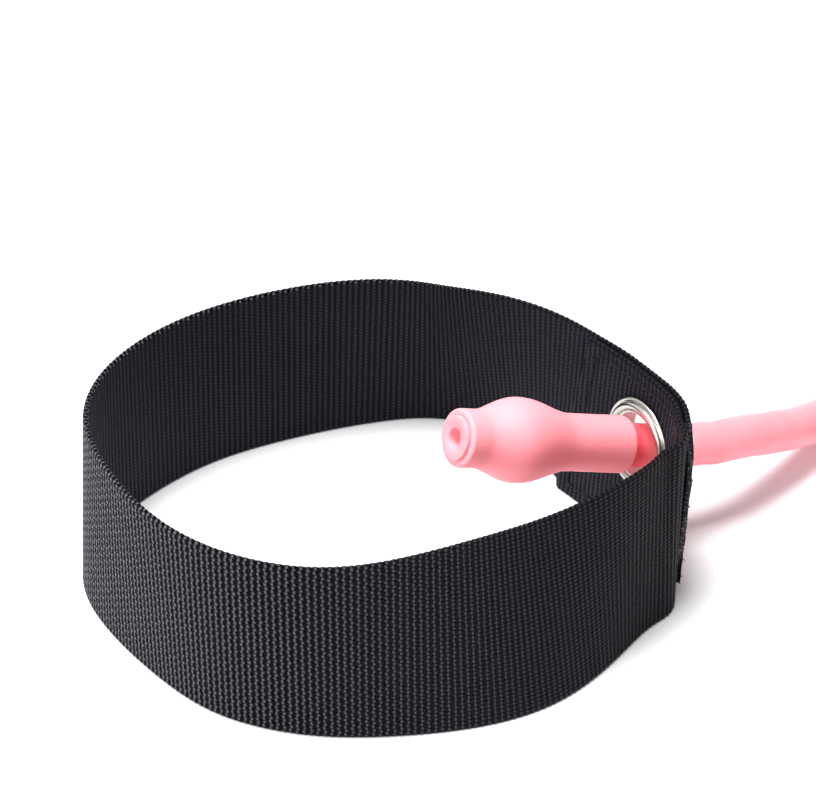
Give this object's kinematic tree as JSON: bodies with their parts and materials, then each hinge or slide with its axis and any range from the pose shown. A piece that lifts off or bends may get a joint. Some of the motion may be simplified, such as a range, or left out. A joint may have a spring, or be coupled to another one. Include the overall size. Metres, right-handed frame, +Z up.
{
  "type": "pilates bar foot strap",
  "caption": "Webbing foot loop standing on its edge, with a metal eyelet through its lapped ends and a stoppered latex resistance tube passing out through the eyelet.",
  "frame": {"origin": "on the floor, under the centre of the box around the strap and its own stopper", "axes": "+Z up from the edge the strap stands on, +X towards the side where the tube leaves, +Y to the rear"},
  "size_m": [0.2612, 0.1518, 0.0424],
  "materials": {
    "black_webbing": "woven, matt",
    "eyelet_plating": "bright nickel plate",
    "pink_latex_tube": "satin latex",
    "pink_latex_sleeve": "satin latex",
    "white_ball": "matt"
  },
  "bodies": {
    "foot_strap": {"webbing_band": "black_webbing", "eyelet_flange": "eyelet_plating", "eyelet_washer": "eyelet_plating"},
    "resistance_tube": {"tube_free": "pink_latex_tube", "tube_coil": "pink_latex_tube", "far_tube": "pink_latex_tube", "far_sleeve": "pink_latex_sleeve", "far_ball": "white_ball"},
    "stopper": {"stopper_tube": "pink_latex_tube", "stopper_sleeve": "pink_latex_sleeve", "stopper_ball": "white_ball"}
  },
  "joints": [
    {"name": "tube_pull", "type": "slide", "parent": "foot_strap", "child": "resistance_tube", "axis": [0.8323, 0.4425, -0.3338], "range_m": [-0.012, 0.015]},
    {"name": "stopper_swivel", "type": "hinge", "parent": "resistance_tube", "child": "stopper", "pos_m": [0.0514, 0.00862, 0.02238], "axis": [0.8323, 0.4425, -0.3338], "range_deg": [-180, 180]}
  ]
}
